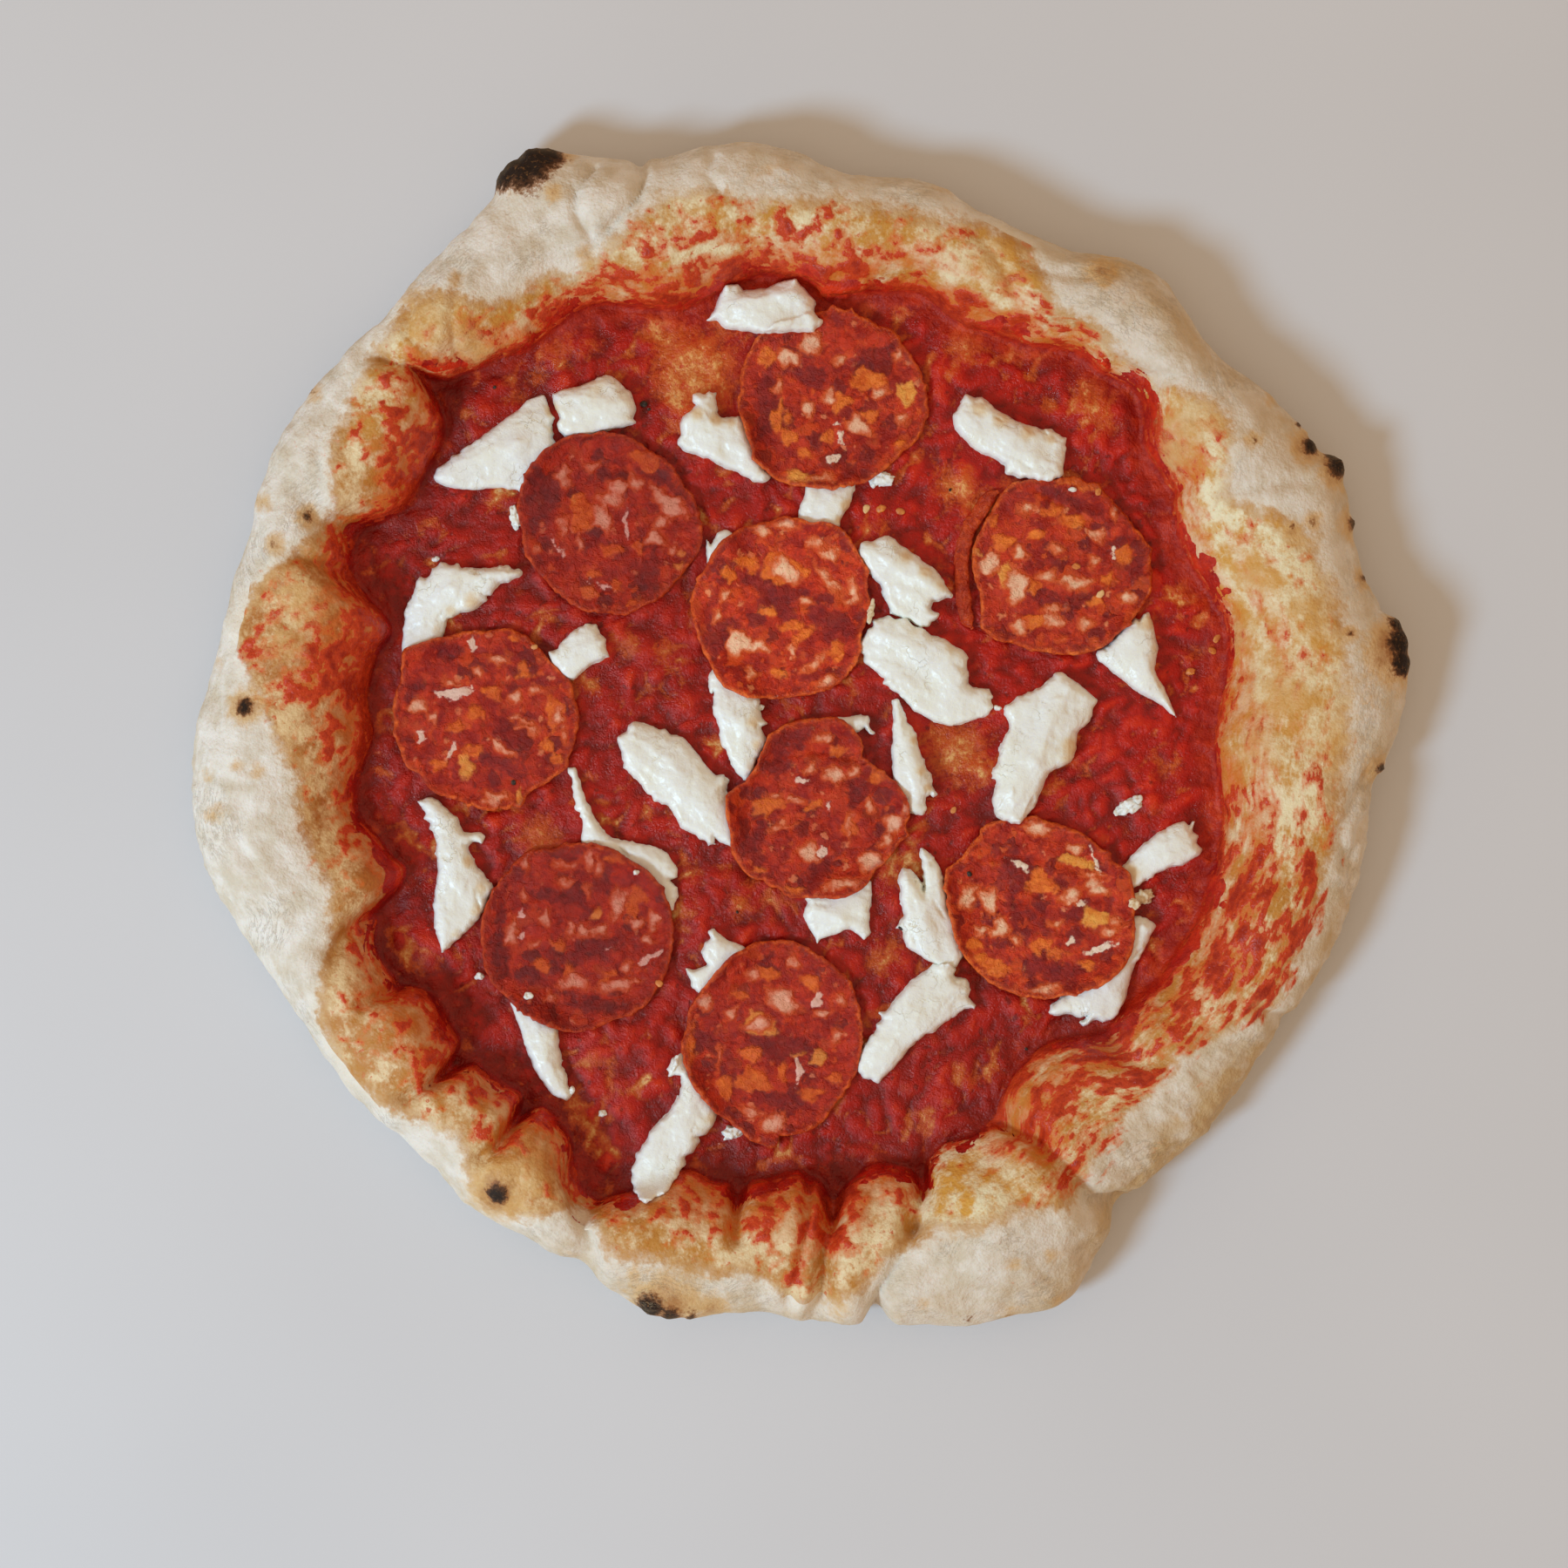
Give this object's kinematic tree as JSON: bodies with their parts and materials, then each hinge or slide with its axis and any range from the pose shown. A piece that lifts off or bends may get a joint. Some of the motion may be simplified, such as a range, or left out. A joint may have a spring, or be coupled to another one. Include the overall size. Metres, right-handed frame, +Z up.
{
  "type": "pepperoni pizza",
  "caption": "Whole round pizza, baked and uncut: a puffed, blistered rim round thin tomato sauce, spicy salami slices and torn fresh mozzarella. Lies flat.",
  "frame": {"origin": "on the surface that the pizza lies on, under the middle of its bounding box", "axes": "+Z up out of the topped side, +X to the right and +Y to the far side of the pictured view"},
  "size_m": [0.2982, 0.2912, 0.0281],
  "materials": {
    "crust": "baked dough, floury cream with golden and charred spots",
    "salami": "oily cured meat, red-orange with pale fat",
    "mozzarella": "moist milky white, soft sheen",
    "sauce": "wet cooked tomato, uneven and pulpy",
    "pepper": "coarse black pepper grains",
    "seed": "small tomato seeds, wet"
  },
  "bodies": {
    "root": {"dough": "crust", "mozzarella_01": "mozzarella", "mozzarella_02": "mozzarella", "mozzarella_03": "mozzarella", "mozzarella_04": "mozzarella", "mozzarella_05": "mozzarella", "mozzarella_06": "mozzarella", "mozzarella_07": "mozzarella", "mozzarella_08": "mozzarella", "mozzarella_09": "mozzarella", "mozzarella_10": "mozzarella", "mozzarella_11": "mozzarella", "mozzarella_12": "mozzarella", "mozzarella_13": "mozzarella", "mozzarella_14": "mozzarella", "mozzarella_15": "mozzarella", "mozzarella_16": "mozzarella", "mozzarella_17": "mozzarella", "mozzarella_18": "mozzarella", "mozzarella_19": "mozzarella", "mozzarella_20": "mozzarella", "mozzarella_21": "mozzarella", "mozzarella_22": "mozzarella", "mozzarella_23": "mozzarella", "mozzarella_24": "mozzarella", "mozzarella_25": "mozzarella", "mozzarella_26": "mozzarella", "mozzarella_27": "mozzarella", "salami_north": "salami", "salami_north_west": "salami", "salami_east": "salami", "salami_middle": "salami", "salami_west": "salami", "salami_centre_south": "salami", "salami_south_west": "salami", "salami_south_east": "salami", "salami_south": "salami"}
  },
  "joints": []
}
